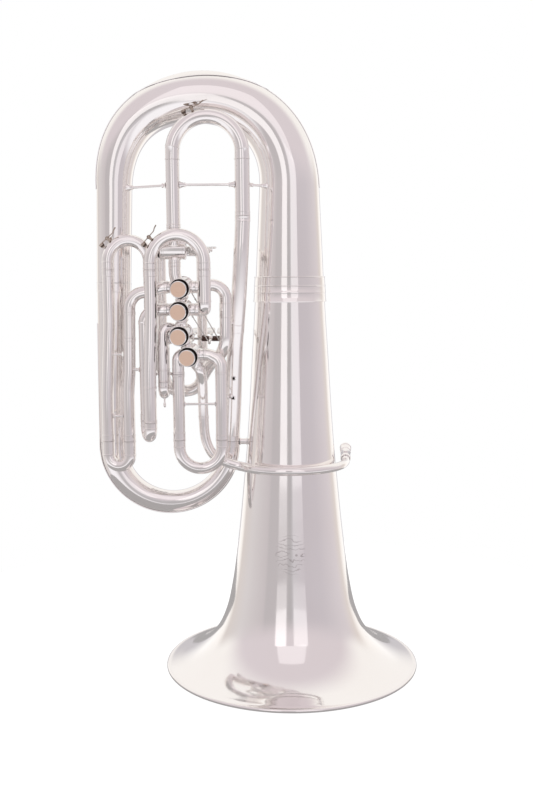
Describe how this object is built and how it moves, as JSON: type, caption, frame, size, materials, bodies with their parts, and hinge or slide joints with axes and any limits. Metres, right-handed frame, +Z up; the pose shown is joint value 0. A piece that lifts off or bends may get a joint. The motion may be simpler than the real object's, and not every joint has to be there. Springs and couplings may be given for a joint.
{
  "type": "tuba",
  "caption": "Rotary-valve bass tuba in polished silver plate, standing upside down on its wide bell, with movable tuning slides and levers.",
  "frame": {"origin": "middle of the footprint, on the ground plane that the bell rim rests on", "axes": "+Z up along the bell's axis, +X from the outer branch towards the bell, +Y from the valve caps towards the player's side"},
  "size_m": [0.526, 0.42, 0.9718],
  "materials": {
    "silver": "polished",
    "satin_silver": "satin",
    "cap_silver": "satin",
    "steel": "satin"
  },
  "bodies": {
    "root": {"bell": "silver", "bell_garland": "silver", "main_bow": "silver", "outer_branch": "silver", "bottom_bow": "silver", "inner_branch": "silver", "main_bow_guard": "silver", "bottom_bow_guard": "silver", "main_slide_tube_left": "silver", "main_slide_tube_right": "silver", "stay_left": "silver", "stay_middle": "silver", "stay_right": "silver", "valve_casing_1": "silver", "valve_casing_2": "silver", "valve_casing_3": "silver", "valve_casing_4": "silver", "valve_casing_5": "silver", "valve_cap_1": "cap_silver", "valve_cap_2": "cap_silver", "valve_cap_3": "cap_silver", "valve_cap_4": "cap_silver", "valve_cap_5": "cap_silver", "v4_tube_left": "silver", "v4_tube_middle": "silver", "v4_tube_right": "silver", "v3_tube_right": "silver", "v3_tube_middle": "silver", "v3_tube_rear": "silver", "v1_tube_left": "silver", "v1_tube_right": "silver", "leadpipe": "silver", "mouthpiece_receiver": "silver", "bell_brace": "silver", "lever_axle": "steel"},
    "main_slide": {"main_slide": "silver"},
    "v4_upper_slide": {"v4_upper_slide": "silver"},
    "v4_lower_slide": {"v4_lower_slide": "silver"},
    "v3_upper_slide": {"v3_upper_slide": "silver"},
    "v3_lower_slide": {"v3_lower_slide": "silver"},
    "v2_slide": {"v2_slide": "silver"},
    "v1_slide": {"v1_slide": "silver"},
    "v5_slide": {"v5_slide": "silver"},
    "water_key_main": {"water_key_main": "satin_silver"},
    "water_key_4": {"water_key_4": "satin_silver"},
    "water_key_3": {"water_key_3": "satin_silver"},
    "finger_lever_1": {"finger_lever_1": "satin_silver"},
    "finger_lever_2": {"finger_lever_2": "satin_silver"},
    "finger_lever_3": {"finger_lever_3": "satin_silver"},
    "finger_lever_4": {"finger_lever_4": "satin_silver"},
    "thumb_lever": {"thumb_lever": "satin_silver"},
    "valve_rotor_1": {"valve_rotor_1": "steel"},
    "valve_rotor_2": {"valve_rotor_2": "steel"},
    "valve_rotor_3": {"valve_rotor_3": "steel"},
    "valve_rotor_4": {"valve_rotor_4": "steel"},
    "valve_rotor_5": {"valve_rotor_5": "steel"},
    "link_rod_1": {"link_rod_1": "steel"},
    "link_rod_2": {"link_rod_2": "steel"},
    "link_rod_3": {"link_rod_3": "steel"},
    "link_rod_4": {"link_rod_4": "steel"}
  },
  "joints": [
    {"name": "main_slide_pull", "type": "slide", "parent": "root", "child": "main_slide", "axis": [0, 0, 1], "range_m": [0, 0.07]},
    {"name": "v4_upper_slide_pull", "type": "slide", "parent": "root", "child": "v4_upper_slide", "axis": [0, 0, 1], "range_m": [0, 0.05]},
    {"name": "v4_lower_slide_pull", "type": "slide", "parent": "root", "child": "v4_lower_slide", "axis": [0, 0, -1], "range_m": [0, 0.05]},
    {"name": "v3_upper_slide_pull", "type": "slide", "parent": "root", "child": "v3_upper_slide", "axis": [0, 0, 1], "range_m": [0, 0.03]},
    {"name": "v3_lower_slide_pull", "type": "slide", "parent": "root", "child": "v3_lower_slide", "axis": [0, 0, -1], "range_m": [0, 0.05]},
    {"name": "v2_slide_pull", "type": "slide", "parent": "root", "child": "v2_slide", "axis": [0, 0, -1], "range_m": [0, 0.025]},
    {"name": "v1_slide_pull", "type": "slide", "parent": "root", "child": "v1_slide", "axis": [0, 0, -1], "range_m": [0, 0.055]},
    {"name": "v5_slide_pull", "type": "slide", "parent": "root", "child": "v5_slide", "axis": [0, 0, -1], "range_m": [0, 0.04]},
    {"name": "water_key_main_press", "type": "hinge", "parent": "main_slide", "child": "water_key_main", "pos_m": [-0.09788, -0.058, 0.9053], "axis": [0, 1, 0], "range_deg": [0, 9], "stiffness_Nm_per_rad": 0.02, "springref_deg": -20.05},
    {"name": "water_key_4_press", "type": "hinge", "parent": "v4_upper_slide", "child": "water_key_4", "pos_m": [-0.23408, -0.0425, 0.7088], "axis": [0, 1, 0], "range_deg": [0, 9], "stiffness_Nm_per_rad": 0.02, "springref_deg": -20.05},
    {"name": "water_key_3_press", "type": "hinge", "parent": "v3_upper_slide", "child": "water_key_3", "pos_m": [-0.16461, -0.0795, 0.70877], "axis": [0, 1, 0], "range_deg": [0, 9], "stiffness_Nm_per_rad": 0.02, "springref_deg": -20.05},
    {"name": "finger_lever_1_press", "type": "hinge", "parent": "root", "child": "finger_lever_1", "pos_m": [-0.117, 0.014, 0.547], "axis": [-1, 0, 0], "range_deg": [0, 13], "stiffness_Nm_per_rad": 0.35, "springref_deg": -14.32},
    {"name": "finger_lever_2_press", "type": "hinge", "parent": "root", "child": "finger_lever_2", "pos_m": [-0.107, 0.014, 0.547], "axis": [-1, 0, 0], "range_deg": [0, 13], "stiffness_Nm_per_rad": 0.35, "springref_deg": -14.32},
    {"name": "finger_lever_3_press", "type": "hinge", "parent": "root", "child": "finger_lever_3", "pos_m": [-0.0772, 0.014, 0.547], "axis": [-1, 0, 0], "range_deg": [0, 13], "stiffness_Nm_per_rad": 0.35, "springref_deg": -14.32},
    {"name": "finger_lever_4_press", "type": "hinge", "parent": "root", "child": "finger_lever_4", "pos_m": [-0.0591, 0.014, 0.547], "axis": [-1, 0, 0], "range_deg": [0, 13], "stiffness_Nm_per_rad": 0.35, "springref_deg": -14.32},
    {"name": "thumb_lever_press", "type": "hinge", "parent": "root", "child": "thumb_lever", "pos_m": [-0.0775, -0.005, 0.6902], "axis": [-1, 0, 0], "range_deg": [0, 10.2], "stiffness_Nm_per_rad": 0.35, "springref_deg": -14.32},
    {"name": "valve_rotor_1_turn", "type": "hinge", "parent": "root", "child": "valve_rotor_1", "pos_m": [-0.1054, -0.058, 0.5262], "axis": [-0.104, -0.9891, -0.1045], "range_deg": [0, 90]},
    {"name": "valve_rotor_2_turn", "type": "hinge", "parent": "root", "child": "valve_rotor_2", "pos_m": [-0.1186, -0.058, 0.5586], "axis": [-0.104, -0.9891, -0.1045], "range_deg": [0, 90]},
    {"name": "valve_rotor_3_turn", "type": "hinge", "parent": "root", "child": "valve_rotor_3", "pos_m": [-0.1182, -0.058, 0.597], "axis": [-0.104, -0.9891, -0.1045], "range_deg": [0, 90]},
    {"name": "valve_rotor_4_turn", "type": "hinge", "parent": "root", "child": "valve_rotor_4", "pos_m": [-0.1168, -0.058, 0.632], "axis": [-0.104, -0.9891, -0.1045], "range_deg": [0, 90]},
    {"name": "valve_rotor_5_turn", "type": "hinge", "parent": "root", "child": "valve_rotor_5", "pos_m": [-0.128, -0.052, 0.6902], "axis": [-1, 0, 0], "range_deg": [0, 90]},
    {"name": "link_rod_1_lift", "type": "slide", "parent": "root", "child": "link_rod_1", "axis": [0, 0, 1], "range_m": [0, 0.0093]},
    {"name": "link_rod_2_lift", "type": "slide", "parent": "root", "child": "link_rod_2", "axis": [0, 0, 1], "range_m": [0, 0.0093]},
    {"name": "link_rod_3_lift", "type": "slide", "parent": "root", "child": "link_rod_3", "axis": [0, 0, 1], "range_m": [0, 0.0093]},
    {"name": "link_rod_4_lift", "type": "slide", "parent": "root", "child": "link_rod_4", "axis": [0, 0, 1], "range_m": [0, 0.0093]}
  ],
  "couplings": [
    {"joint": "valve_rotor_1_turn", "follows": "finger_lever_1_press", "ratio": 6.923},
    {"joint": "link_rod_1_lift", "follows": "finger_lever_1_press", "m_per_rad": 0.0405},
    {"joint": "valve_rotor_2_turn", "follows": "finger_lever_2_press", "ratio": 6.923},
    {"joint": "link_rod_2_lift", "follows": "finger_lever_2_press", "m_per_rad": 0.0405},
    {"joint": "valve_rotor_3_turn", "follows": "finger_lever_3_press", "ratio": 6.923},
    {"joint": "link_rod_3_lift", "follows": "finger_lever_3_press", "m_per_rad": 0.0405},
    {"joint": "valve_rotor_4_turn", "follows": "finger_lever_4_press", "ratio": 6.923},
    {"joint": "link_rod_4_lift", "follows": "finger_lever_4_press", "m_per_rad": 0.0405},
    {"joint": "valve_rotor_5_turn", "follows": "thumb_lever_press", "ratio": 8.8235}
  ]
}
